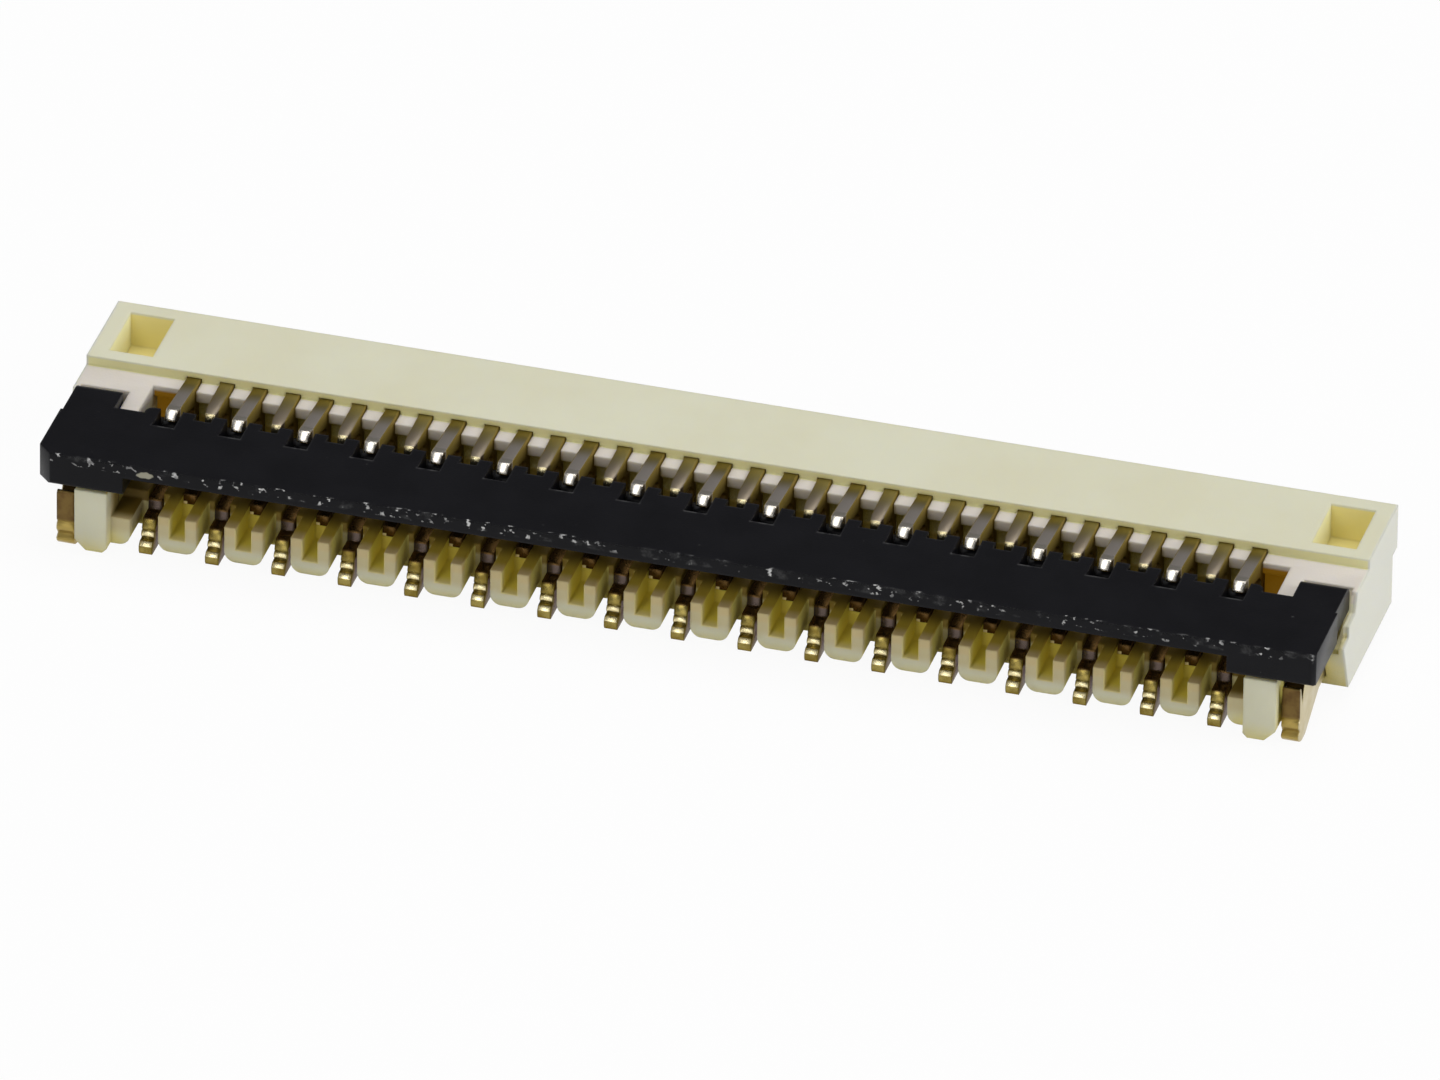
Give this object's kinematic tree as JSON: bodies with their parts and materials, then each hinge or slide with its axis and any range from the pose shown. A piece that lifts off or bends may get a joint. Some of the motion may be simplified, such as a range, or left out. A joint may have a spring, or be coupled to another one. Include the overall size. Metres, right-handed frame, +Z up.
{
  "type": "flat-flex cable connector",
  "caption": "Low board connector for a flat flexible cable: cream housing, staggered fork contacts with solder tails on both sides, and a black flip-up locking actuator.",
  "frame": {"origin": "centre of the footprint on the board's solder plane, with the actuator shut", "axes": "+X along the contact row, +Y out of the cable mouth, +Z up from the board"},
  "size_m": [0.0116, 0.003, 0.001],
  "materials": {
    "housing": "satin moulded plastic, cream and slightly translucent",
    "actuator": "black satin moulded plastic, worn along its rear edge",
    "contact": "bright gold plate over grey nickel on stamped sheet",
    "nail": "dull gold plate on stamped sheet"
  },
  "bodies": {
    "base": {"housing": "housing", "nail_left": "nail", "nail_right": "nail", "contact_01": "contact", "contact_02": "contact", "contact_03": "contact", "contact_04": "contact", "contact_05": "contact", "contact_06": "contact", "contact_07": "contact", "contact_08": "contact", "contact_09": "contact", "contact_10": "contact", "contact_11": "contact", "contact_12": "contact", "contact_13": "contact", "contact_14": "contact", "contact_15": "contact", "contact_16": "contact", "contact_17": "contact", "contact_18": "contact", "contact_19": "contact", "contact_20": "contact", "contact_21": "contact", "contact_22": "contact", "contact_23": "contact", "contact_24": "contact", "contact_25": "contact", "contact_26": "contact", "contact_27": "contact", "contact_28": "contact", "contact_29": "contact", "contact_30": "contact", "contact_31": "contact", "contact_32": "contact", "contact_33": "contact"},
    "lever": {"actuator": "actuator"}
  },
  "joints": [
    {"name": "actuator_flip", "type": "hinge", "parent": "base", "child": "lever", "pos_m": [0, -0.00042, 0.00077], "axis": [-1, 0, 0], "range_deg": [0, 90]}
  ]
}
